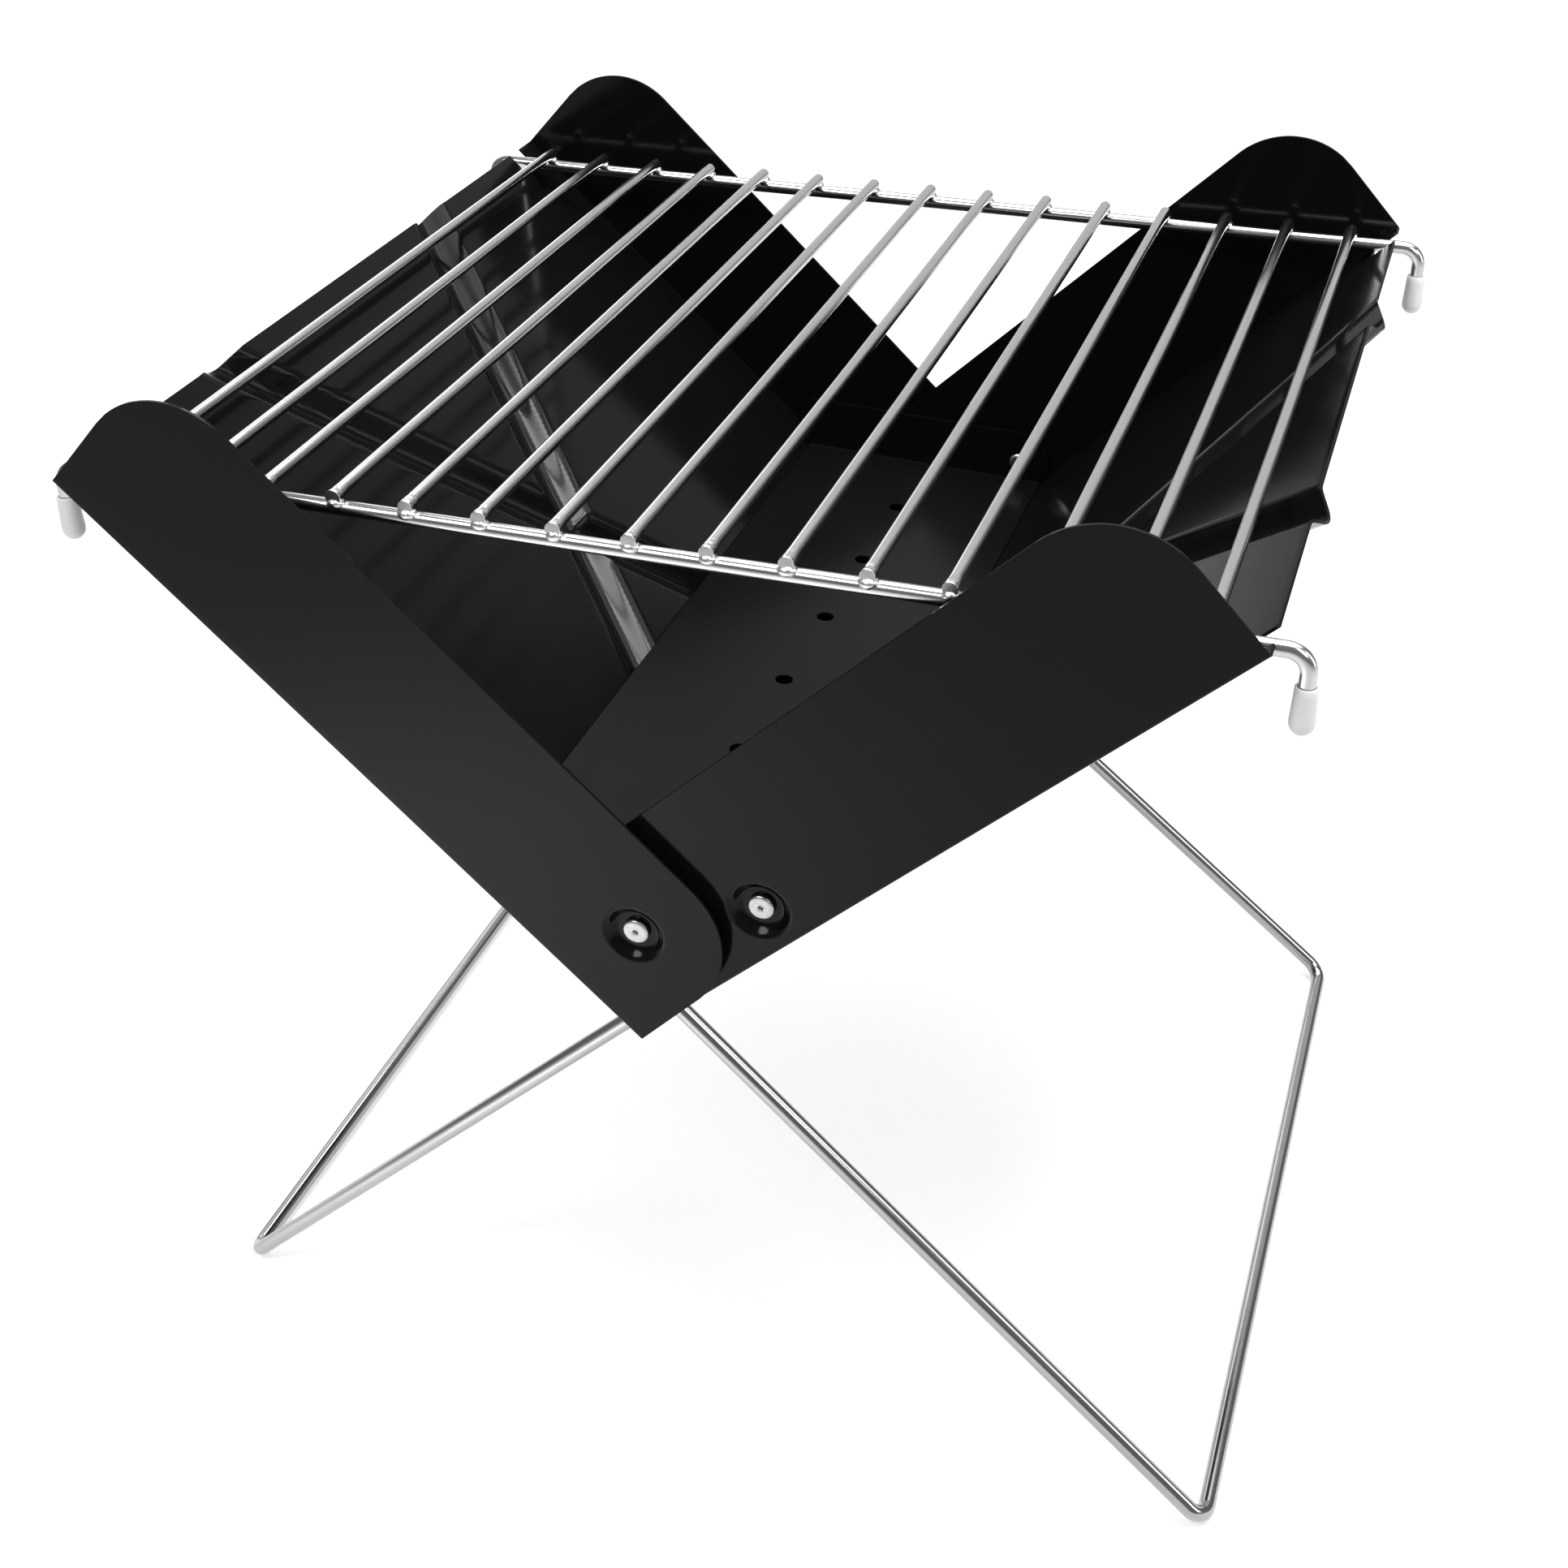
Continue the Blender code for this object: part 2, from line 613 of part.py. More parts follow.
right_tray = make_tray(
    "right_tray", 1, RIGHT_HALF_DEPTH, RIGHT_HALF_DEPTH + SHEET, PLATE_PIVOT, TRAY_PIVOT
)
left_tray = make_tray("left_tray", -1, LEFT_HALF_DEPTH, RIGHT_HALF_DEPTH + SHEET, TRAY_PIVOT, None)
tray_hinge = add_pivot("tray_hinge", TRAY_PIVOT)
hang_on(left_tray, tray_hinge)
base_plate = make_base_plate()
make_rivets()
make_grate()
right_leg = make_leg("right_leg", 1, RIGHT_FOOT_X, RIGHT_ARM_Y)
left_leg = make_leg("left_leg", -1, LEFT_FOOT_X, LEFT_ARM_Y)
clip_inset = PIN_BEND + CLIP_WIDTH / 2 + GAP
for leg_side, hand, pin_y in ((1, "right", RIGHT_ARM_Y[0]), (-1, "left", LEFT_ARM_Y[0])):
    for end, where in ((-1, "front"), (1, "rear")):
        clip_y = end * (pin_y - clip_inset)
        leg_clip = make_clip(f"{hand}_leg_clip_{where}", leg_side, clip_y)
        if leg_side > 0:
            hang_on(leg_clip, tray_hinge)
hang_on(right_leg, tray_hinge)
bpy.context.view_layer.update()
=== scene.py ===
"""Looks of the folding camp grill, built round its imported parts.

Metres, +Z up. Each tray is drawn in its own axes: u up the panel from the apex,
y across it and w inward from the panel's outer face.
"""

from math import atan2, cos, pi, radians, sin
from random import Random

import bmesh
import bpy
import numpy as np
from mathutils import Matrix, Vector


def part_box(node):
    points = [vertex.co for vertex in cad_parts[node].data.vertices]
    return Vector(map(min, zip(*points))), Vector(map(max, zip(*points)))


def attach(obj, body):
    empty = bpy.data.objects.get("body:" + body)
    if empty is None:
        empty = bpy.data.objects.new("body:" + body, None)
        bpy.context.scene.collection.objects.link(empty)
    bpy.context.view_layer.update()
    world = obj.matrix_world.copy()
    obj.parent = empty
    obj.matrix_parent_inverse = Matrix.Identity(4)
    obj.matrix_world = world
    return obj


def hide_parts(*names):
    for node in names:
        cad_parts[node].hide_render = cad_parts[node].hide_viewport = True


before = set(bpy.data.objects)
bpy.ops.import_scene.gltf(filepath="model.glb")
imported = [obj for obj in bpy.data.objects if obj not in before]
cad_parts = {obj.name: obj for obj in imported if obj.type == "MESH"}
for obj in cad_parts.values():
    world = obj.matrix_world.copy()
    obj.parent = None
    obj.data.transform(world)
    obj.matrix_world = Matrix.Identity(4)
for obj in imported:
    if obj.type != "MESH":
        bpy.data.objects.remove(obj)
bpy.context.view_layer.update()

MM = 0.001

# The V, as in the frame
LEAN = radians(46.6)
PANEL_LENGTH = 234.0 * MM
LEFT_HALF_DEPTH = 162.0 * MM
RIGHT_HALF_DEPTH = 157.5 * MM
SHEET = 1.0 * MM
GAP = 0.3 * MM                   # between pieces that touch
BEND_RADIUS = 1.15 * MM
EDGE_ROUNDING = 0.28 * MM
PIVOT_FROM_PANEL = 29.0 * MM
PIVOT_ALONG = PIVOT_FROM_PANEL * cos(LEAN) / sin(LEAN)
FLANGE_HEIGHT = PIVOT_FROM_PANEL + PIVOT_ALONG
TOP_CORNER_RADIUS = 28.2 * MM
APEX_RELIEF = 1.7 * MM
APEX = Vector((-2.125 * MM, 0.0, 170.2 * MM))

GROOVE_WIDTH = 20.5 * MM
GROOVE_DEPTH = 5.8 * MM
GROOVE_SPREAD = 72.0 * MM
GROOVE_FOOT = 0.42               # shares of a wall that are rounded, where it meets the other wall
GROOVE_SHOULDER = 0.22           # and where it meets the panel

# Spacing of the sheet meshes
PANEL_STEP = 1.3 * MM
FLANGE_STEP = 2.4 * MM
DISH_STEP = 0.5 * MM             # finer, round a dish
DISH_MARGIN = 1.4 * MM
ROW_GAP = 0.4 * MM               # least distance between two rows of a tray
END_ROW_GAP = 0.12 * MM          # and near its ends, where the flanges curve
END_BAND = 2.5 * MM
ARC_STEPS = 20
BEND_STEPS = 6

DISH_RADIUS = 9.2 * MM
DISH_FLOOR_RADIUS = 6.6 * MM
DISH_DEPTH = 3.0 * MM
DISH_RIM = 0.7 * MM              # how far the rolled rim spreads on the flange
DISH_ROLL = 1.2 * MM             # both roundings of the wall together

PLATE_RIVET_ALONG = 64.4 * MM
PLATE_RIVET_IN = 13.6 * MM
PLATE_TILT = radians(2.4)
PLATE_DROP = 7.6 * MM
PLATE_SWING = 12.2 * MM
PLATE_HALF_DEPTH = RIGHT_HALF_DEPTH - DISH_DEPTH - SHEET - GAP
PLATE_STEP = 6.0 * MM
PLATE_ROW_STEP = 3.0 * MM
PLATE_ROW_GAP = 0.3 * MM
HOLE_RADIUS = 3.05 * MM
HOLE_PITCH = 45.4 * MM
HOLE_COUNT = 6
HOLE_MIDDLE = -2.4 * MM

ROD_COUNT = 15
ROD_PITCH = 22.0 * MM
ROD_RADIUS = 1.9 * MM
ROD_HALF_LENGTH = 149.5 * MM
ROD_SIDES = 24
ROD_UNEVENNESS = 0.7 * MM        # the rods aren't all cut to one length
ROD_BOW = 0.25 * MM
ROD_FINE_END = 8.0 * MM          # length at each end with closely spaced points
ROD_BOWED = 110.0 * MM           # half the length that the bow is drawn over
ROD_BOW_REACH = 130.0 * MM       # where the bow would come to nothing
FRONT_SINK = 0.35 * MM
REAR_SINK = 0.25 * MM
FRONT_SWELL = (0.14, 0.24)       # shares of the rod's radius
REAR_SWELL = 0.05
FRONT_ROUNDING = (0.18 * MM, 0.3 * MM)
REAR_ROUNDING = 1.4 * MM
WELD_REACH = 7.0 * MM            # a rod begins to thicken this far from its end
WELD_EASE = 5.0 * MM             # and is at its thickest this much nearer to it
WELD_OUTWARD = 0.9 * MM
WELD_SINK = 0.5 * MM             # middle of a weld, below the crossbar's top
CROSSBAR_RADIUS = 2.3 * MM
CROSSBAR_Y = 146.5 * MM
CROSSBAR_ABOVE_APEX = 157.6 * MM
SLOT_WIDTH = 9.3 * MM
SLOT_BOTTOM = (CROSSBAR_ABOVE_APEX - CROSSBAR_RADIUS - GAP - SHEET * sin(LEAN)) / cos(LEAN)
HOOK_X = 178.4 * MM
HOOK_BEND = 6.0 * MM
HOOK_DROP = 21.9 * MM
CAP_MOUTH_RADIUS = 3.05 * MM
WIRE_SIDES = 28                  # of the thicker wires: crossbars and legs

LEG_RADIUS = 2.75 * MM
LEG_BEND = 7.0 * MM
PIN_BEND = 5.0 * MM
PIN_LENGTH = 15.0 * MM
LEG_PIVOT_ALONG = 14.0 * MM
LEG_PIVOT_OUT = 3.3 * MM
RIGHT_FOOT_X = 183.4 * MM
LEFT_FOOT_X = 174.1 * MM
RIGHT_ARM_Y = (135.8 * MM, 150.0 * MM)
LEFT_ARM_Y = (129.4 * MM, 141.1 * MM)
CLIP_ROUNDING = 0.3 * MM


def panel_frame(side):
    """Axes of a tray: X up the panel, Z inward from its outer face. side is 1 for the right one."""
    along = Vector((side * sin(LEAN), 0.0, cos(LEAN)))
    inward = Vector((-side * cos(LEAN), 0.0, sin(LEAN)))
    matrix = Matrix((along, inward.cross(along), inward)).transposed().to_4x4()
    matrix.translation = APEX
    return matrix


LEFT_FRAME = panel_frame(-1)
RIGHT_FRAME = panel_frame(1)
PLATE_PIVOT = RIGHT_FRAME @ Vector((PLATE_RIVET_ALONG, 0.0, PLATE_RIVET_IN))
TRAY_PIVOT = APEX + Vector((0.0, 0.0, PIVOT_FROM_PANEL / sin(LEAN)))


# Materials

class Shader:
    """Node material with a Principled shader and the few helpers that its textures need."""

    def __init__(self, name, colour, metallic=0.0, roughness=0.5, **sockets):
        self.material = bpy.data.materials.new(name)
        self.material.use_nodes = True
        self.nodes = self.material.node_tree.nodes
        self.links = self.material.node_tree.links
        self.shader = self.nodes["Principled BSDF"]
        self.set("Base Color", (*colour, 1.0))
        self.set("Metallic", metallic)
        self.set("Roughness", roughness)
        for socket, value in sockets.items():
            self.set(socket.replace("_", " "), value)

    def set(self, socket, value):
        self.shader.inputs[socket].default_value = value

    def noise(self, scale, detail=3.0, stretch=(1.0, 1.0, 1.0), space="Object"):
        """Noise of a scale per metre, stretched by the given factors."""
        place = self.nodes.new("ShaderNodeTexCoord")
        turn = self.nodes.new("ShaderNodeMapping")
        turn.inputs["Scale"].default_value = stretch
        noise = self.nodes.new("ShaderNodeTexNoise")
        noise.inputs["Scale"].default_value = scale
        noise.inputs["Detail"].default_value = detail
        self.links.new(place.outputs[space], turn.inputs["Vector"])
        self.links.new(turn.outputs["Vector"], noise.inputs["Vector"])
        return noise.outputs["Fac"]

    def between(self, factor, low, high, start=0.3, end=0.7):
        """Map a factor to numbers or colours between low and high."""
        spread = self.nodes.new("ShaderNodeMapRange")
        spread.inputs["From Min"].default_value = start
        spread.inputs["From Max"].default_value = end
        self.links.new(factor, spread.inputs["Value"])
        if isinstance(low, tuple):
            mix = self.nodes.new("ShaderNodeMix")
            mix.data_type = "RGBA"
            mix.inputs["A"].default_value = (*low, 1.0)
            mix.inputs["B"].default_value = (*high, 1.0)
            self.links.new(spread.outputs["Result"], mix.inputs["Factor"])
            return mix.outputs["Result"]
        spread.inputs["To Min"].default_value = low
        spread.inputs["To Max"].default_value = high
        return spread.outputs["Result"]

    def drive(self, socket, output):
        self.links.new(output, self.shader.inputs[socket])

    def bump(self, height, distance):
        bump = self.nodes.new("ShaderNodeBump")
        bump.inputs["Distance"].default_value = distance
        self.links.new(height, bump.inputs["Height"])
        self.links.new(bump.outputs["Normal"], self.shader.inputs["Normal"])


def make_enamel(name, colour, roughness, specular, peel):
    """Black enamel with a faint orange peel of the given depth."""
    enamel = Shader(name, colour, roughness=roughness, Specular_IOR_Level=specular)
    enamel.drive("Roughness", enamel.between(enamel.noise(35.0), roughness * 0.9, roughness * 1.12))
    enamel.bump(enamel.noise(900.0, 2.0), peel)
    return enamel.material


def make_wire_metal(name, colour, roughness):
    """Bright plating with faint streaks along the wire, which UV V follows."""
    metal = Shader(name, colour, metallic=1.0, roughness=roughness)
    streaks = metal.noise(1.0, 4.0, (7.0, 22.0, 1.0), "UV")
    dark = tuple(c * 0.86 for c in colour)
    metal.drive("Base Color", metal.between(streaks, dark, colour))
    metal.drive("Roughness", metal.between(streaks, roughness * 1.35, roughness * 0.75))
    metal.bump(metal.noise(1.0, 3.0, (3.0, 90.0, 1.0), "UV"), 0.008 * MM)
    return metal.material


def make_cut_metal():
    """Sheared wire ends: duller than the plating, with fine marks."""
    metal = Shader("cut_metal", (0.3, 0.3, 0.3), metallic=1.0, roughness=0.42)
    metal.bump(metal.noise(1400.0, 3.0), 0.12 * MM)
    return metal.material


def make_weld_metal():
    """Bright, lumpy metal of the weld blobs."""
    metal = Shader("weld_metal", (0.6, 0.6, 0.6), metallic=1.0, roughness=0.26)
    metal.bump(metal.noise(700.0, 4.0), 0.25 * MM)
    return metal.material


def make_aluminium():
    """Rivets, with a finely mottled shine."""
    metal = Shader("aluminium", (0.34, 0.34, 0.345), metallic=1.0, roughness=0.33)
    metal.drive("Roughness", metal.between(metal.noise(600.0), 0.24, 0.42))
    return metal.material


def make_plastic():
    """Soft white plastic that lets a little light through."""
    plastic = Shader("cap_plastic", (0.5, 0.495, 0.485), roughness=0.38)
    plastic.set("Subsurface Weight", 0.15)
    plastic.set("Subsurface Radius", (0.002, 0.002, 0.0015))
    return plastic.material


# Meshes

def add_piece(name, mesh, material, body, slot, *nodes, matrix=None):
    """Shown piece that stands for CAD nodes and moves with their body."""
    piece = bpy.data.objects.new(name, mesh)
    bpy.context.scene.collection.objects.link(piece)
    mesh.materials.append(material)
    if matrix:
        mesh.transform(matrix)
    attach(piece, body)
    if nodes:
        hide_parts(*nodes)
    return piece


def mesh_from(name, points, faces, uvs=None):
    mesh = bpy.data.meshes.new(name)
    mesh.from_pydata(points, [], faces)
    if uvs is not None:
        layer = mesh.uv_layers.new(name="wire")
        layer.data.foreach_set("uv", np.asarray(uvs, np.float32).ravel())
    mesh.shade_smooth()
    return mesh


def spaced(breaks, step, fine=None, fine_step=None):
    """Numbers from the first break to the last, through them all, closer inside the fine span."""
    stops = sorted(set(breaks) | set(fine or ()))
    numbers = [stops[0]]
    for low, high in zip(stops, stops[1:]):
        inside = fine and fine[0] <= (low + high) / 2 <= fine[1]
        count = max(1, round((high - low) / (fine_step if inside else step)))
        numbers += [low + (high - low) * (i + 1) / count for i in range(count)]
    return numbers


def grid_mesh(name, points, keep):
    """Sheet of quads through an array of points, rows by columns, without the quads not kept."""
    rows, columns = points.shape[:2]
    faces = []
    for i in range(rows - 1):
        for j in range(columns - 1):
            if keep[i, j]:
                a = i * columns + j
                faces.append((a, a + columns, a + columns + 1, a + 1))
    mesh = mesh_from(name, points.reshape(-1, 3).tolist(), faces)
    builder = bmesh.new()
    builder.from_mesh(mesh)
    loose = [v for v in builder.verts if not v.link_faces]
    bmesh.ops.delete(builder, geom=loose, context="VERTS")
    builder.to_mesh(mesh)
    builder.free()
    mesh.shade_smooth()
    return mesh


def thicken(piece):
    """Give a sheet its thickness, inward, and rounded edges."""
    solid = piece.modifiers.new("thickness", "SOLIDIFY")
    solid.thickness = SHEET
    solid.offset = -1.0
    solid.use_even_offset = True
    edges = piece.modifiers.new("edges", "BEVEL")
    edges.width = EDGE_ROUNDING
    edges.segments = 3
    edges.limit_method = "ANGLE"
    edges.angle_limit = radians(55)
    edges.harden_normals = True


def tube_mesh(name, path, radii, sides, rounding=(0.3 * MM, 0.3 * MM)):
    """Round wire along a path with flat ends rounded at the rim, and a UV map round and along it."""
    path = [Vector(p) for p in path]
    if not hasattr(radii, "__len__"):
        radii = [radii] * len(path)
    steps = 5
    first = (path[0] - path[1]).normalized()
    last = (path[-1] - path[-2]).normalized()
    turns = [pi / 2 * i / steps for i in range(1, steps + 1)]
    near, far = rounding
    front = [(path[0] + first * near * sin(t), radii[0] - near * (1 - cos(t))) for t in turns]
    back = [(path[-1] + last * far * sin(t), radii[-1] - far * (1 - cos(t))) for t in turns]
    rings = front[::-1] + list(zip(path, radii)) + back
    centres = [c for c, _ in rings]
    tip_front = path[0] + first * near
    tip_back = path[-1] + last * far

    points, lengths = [], [0.0]
    tangent = (path[1] - path[0]).normalized()
    normal = tangent.orthogonal().normalized()
    for k, (centre, radius) in enumerate(rings):
        if k:
            lengths.append(lengths[-1] + (centre - centres[k - 1]).length)
        if 0 < k < len(rings) - 1:
            ahead = (centres[k + 1] - centre).normalized() + (centre - centres[k - 1]).normalized()
            ahead.normalize()
        else:
            ahead = tangent if k == 0 else last
        normal = tangent.rotation_difference(ahead) @ normal
        tangent = ahead
        side = tangent.cross(normal)
        for s in range(sides):
            a = 2 * pi * s / sides
            points.append(centre + (normal * cos(a) + side * sin(a)) * radius)
    faces, uvs = [], []
    for k in range(len(rings) - 1):
        for s in range(sides):
            t = (s + 1) % sides
            faces.append((k * sides + s, k * sides + t, (k + 1) * sides + t, (k + 1) * sides + s))
            low, high = s / sides, (s + 1) / sides
            uvs += [(low, lengths[k]), (high, lengths[k]), (high, lengths[k + 1]), (low, lengths[k + 1])]
    a, b = len(points), len(points) + 1
    points += [tip_front, tip_back]
    top = (len(rings) - 1) * sides
    for s in range(sides):
        t = (s + 1) % sides
        faces += [(a, t, s), (b, top + s, top + t)]
        uvs += [(s / sides, 0.0)] * 3 + [(s / sides, lengths[-1])] * 3
    return mesh_from(name, [tuple(p) for p in points], faces, uvs)


def fillet(corners, radii, steps=14):
    """Wire centre line through the corners, with an arc of the given radius at each."""
    path = [corners[0]]
    for before, corner, after, radius in zip(corners, corners[1:], corners[2:], radii):
        back = (before - corner).normalized()
        ahead = (after - corner).normalized()
        half = back.angle(ahead) / 2
        reach = radius * cos(half) / sin(half)
        centre = corner + (back + ahead).normalized() * (radius / sin(half))
        start = corner + back * reach - centre
        axis = start.cross(corner + ahead * reach - centre).normalized()
        sweep = pi - 2 * half
        path += [centre + Matrix.Rotation(sweep * i / steps, 3, axis) @ start for i in range(steps + 1)]
    path.append(corners[-1])
    return path


def lathe_mesh(name, profile, steps=48):
    """Solid of revolution about Z from (radius, height) pairs, top to bottom."""
    points, faces = [], []
    for radius, height in profile:
        for s in range(steps):
            a = 2 * pi * s / steps
            points.append((radius * cos(a), radius * sin(a), height))
    for k in range(len(profile) - 1):
        for s in range(steps):
            t = (s + 1) % steps
            faces.append((k * steps + s, (k + 1) * steps + s, (k + 1) * steps + t, k * steps + t))
    mesh = mesh_from(name, points, faces)
    builder = bmesh.new()
    builder.from_mesh(mesh)
    bmesh.ops.remove_doubles(builder, verts=builder.verts, dist=0.001 * MM)
    bmesh.ops.recalc_face_normals(builder, faces=builder.faces)
    builder.to_mesh(mesh)
    builder.free()
    mesh.shade_smooth()
    mesh.set_sharp_from_angle(angle=radians(50))
    return mesh


# Trays

def flange_top(u):
    """Height of a flange's round-cornered edge at each distance u along the panel."""
    near = np.sqrt(np.clip(PIVOT_ALONG**2 - (u - PIVOT_ALONG) ** 2, 0, None)) + PIVOT_FROM_PANEL
    corner = PANEL_LENGTH - TOP_CORNER_RADIUS
    far = np.sqrt(np.clip(TOP_CORNER_RADIUS**2 - (u - corner) ** 2, 0, None))
    far += FLANGE_HEIGHT - TOP_CORNER_RADIUS
    return np.where(u < PIVOT_ALONG, near, np.where(u > corner, far, FLANGE_HEIGHT))


def ease(x):
    """Smooth step from 0 to 1."""
    x = np.clip(x, 0.0, 1.0)
    return x * x * (3 - 2 * x)


def dish_depth(radius):
    """Depth of the pressed dish: a rolled rim, a sloping wall and a flat floor."""
    wall = ease((DISH_RADIUS + DISH_RIM - radius) / (DISH_RADIUS - DISH_FLOOR_RADIUS + DISH_ROLL))
    return DISH_DEPTH * wall


def groove_depth(u, y):
    """Depth of the two crossed grooves below the panel's face."""
    angle = atan2(2 * GROOVE_SPREAD, PANEL_LENGTH)
    depths = []
    for direction in (1, -1):
        across = y * cos(angle) - direction * (u - PANEL_LENGTH / 2) * sin(angle)
        share = np.clip(np.abs(across) * 2 / GROOVE_WIDTH, 0.0, 1.0)
        foot = np.minimum(share, GROOVE_FOOT)
        shoulder = np.maximum(share - 1 + GROOVE_SHOULDER, 0.0)
        risen = share - foot + foot**2 / (2 * GROOVE_FOOT) - shoulder**2 / (2 * GROOVE_SHOULDER)
        depths.append(1 - risen / (1 - (GROOVE_FOOT + GROOVE_SHOULDER) / 2))
    return GROOVE_DEPTH * np.maximum(*depths)


def arc_rows(start, end, centre, radius, steps):
    """Rows spaced evenly round an arc of the flange's edge."""
    return [centre - radius * cos(start + (end - start) * i / steps) for i in range(steps + 1)]


def thinned(rows):
    """Leave out rows that nearly touch, but keep the relief's edge, the slots' edge and the last one."""
    fixed = (APEX_RELIEF, SLOT_BOTTOM, PANEL_LENGTH)
    kept = rows[:1]
    for u in rows[1:]:
        near_end = u < END_BAND or u > PANEL_LENGTH - END_BAND
        if u in fixed:
            while u - kept[-1] < END_ROW_GAP and kept[-1] not in fixed + (0.0,):
                kept.pop()
            kept.append(u)
        elif u - kept[-1] >= (END_ROW_GAP if near_end else ROW_GAP):
            kept.append(u)
    return kept


def make_tray(name, body, frame_matrix, half, dish, relief_everywhere):
    """Tray panel with its two flanges. dish is the sunk rivet's (u, w).

    Rows run across the tray. In each, the columns go down one flange, over the panel and up the
    other. relief_everywhere stops the flanges short of the apex too, and not only the panel.
    """
    corner = PANEL_LENGTH - TOP_CORNER_RADIUS
    reach = DISH_RADIUS + DISH_MARGIN
    rows = set(spaced([0.0, APEX_RELIEF, SLOT_BOTTOM, PANEL_LENGTH], PANEL_STEP))
    rows |= set(arc_rows(0.0, pi / 2, PIVOT_ALONG, PIVOT_ALONG, ARC_STEPS))
    rows |= set(arc_rows(pi / 2, pi, corner, TOP_CORNER_RADIUS, ARC_STEPS))
    rows |= set(spaced([dish[0] - reach, dish[0] + reach], DISH_STEP))
    rows = thinned(sorted(rows))
    if relief_everywhere:
        rows = [u for u in rows if u >= APEX_RELIEF]
    u = np.array(rows)

    flat = half - BEND_RADIUS
    slot_in, slot_out = CROSSBAR_Y - SLOT_WIDTH / 2, CROSSBAR_Y + SLOT_WIDTH / 2
    relief = RIGHT_HALF_DEPTH + SHEET
    stops = [-flat, -slot_out, -slot_in, slot_in, slot_out, flat]
    if relief < flat:
        stops += [-relief, relief]
    panel = spaced(stops, PANEL_STEP)
    bend = [pi / 2 * i / BEND_STEPS for i in range(1, BEND_STEPS + 1)]
    beside_dish = (dish[1] - reach, dish[1] + reach)
    levels = spaced([BEND_RADIUS, *beside_dish, FLANGE_HEIGHT], FLANGE_STEP, beside_dish, DISH_STEP)
    fraction = np.array([level / FLANGE_HEIGHT for level in levels][1:])

    tops = flange_top(u)
    height = BEND_RADIUS + (fraction[None, :] * FLANGE_HEIGHT - BEND_RADIUS) * (
        (tops[:, None] - BEND_RADIUS) / (FLANGE_HEIGHT - BEND_RADIUS)
    )
    sunk = dish_depth(np.hypot(u[:, None] - dish[0], height - dish[1]))
    width = np.array(panel)[None, :]
    ones = np.ones((len(u), 1))
    grooves = groove_depth(u[:, None], width * ones)
    round_y = flat + BEND_RADIUS * np.sin(bend)
    round_w = BEND_RADIUS * (1 - np.cos(bend))
    y = np.hstack([
        (sunk - half)[:, ::-1], -ones * round_y[::-1], ones * width, ones * round_y, half - sunk
    ])
    w = np.hstack([height[:, ::-1], ones * round_w[::-1], -grooves, ones * round_w, height])
    points = np.stack([u[:, None] * np.ones_like(y), y, w], axis=-1)

    middle_u = (u[1:] + u[:-1])[:, None] / 2
    middle_y = np.abs(y[0, 1:] + y[0, :-1])[None, :] / 2
    on_panel = (np.maximum(w[0, 1:], w[0, :-1]) < 0.5 * BEND_RADIUS)[None, :]
    in_slot = (middle_u > SLOT_BOTTOM) & (middle_y > slot_in) & (middle_y < slot_out) & on_panel
    relieved = (middle_u < APEX_RELIEF) & (middle_y < relief) & on_panel
    mesh = grid_mesh(name, points, ~(in_slot | relieved))
    mesh.flip_normals()
    tray = add_piece(name, mesh, enamel, body, "black_enamel", body, matrix=frame_matrix)
    thicken(tray)


# Base plate

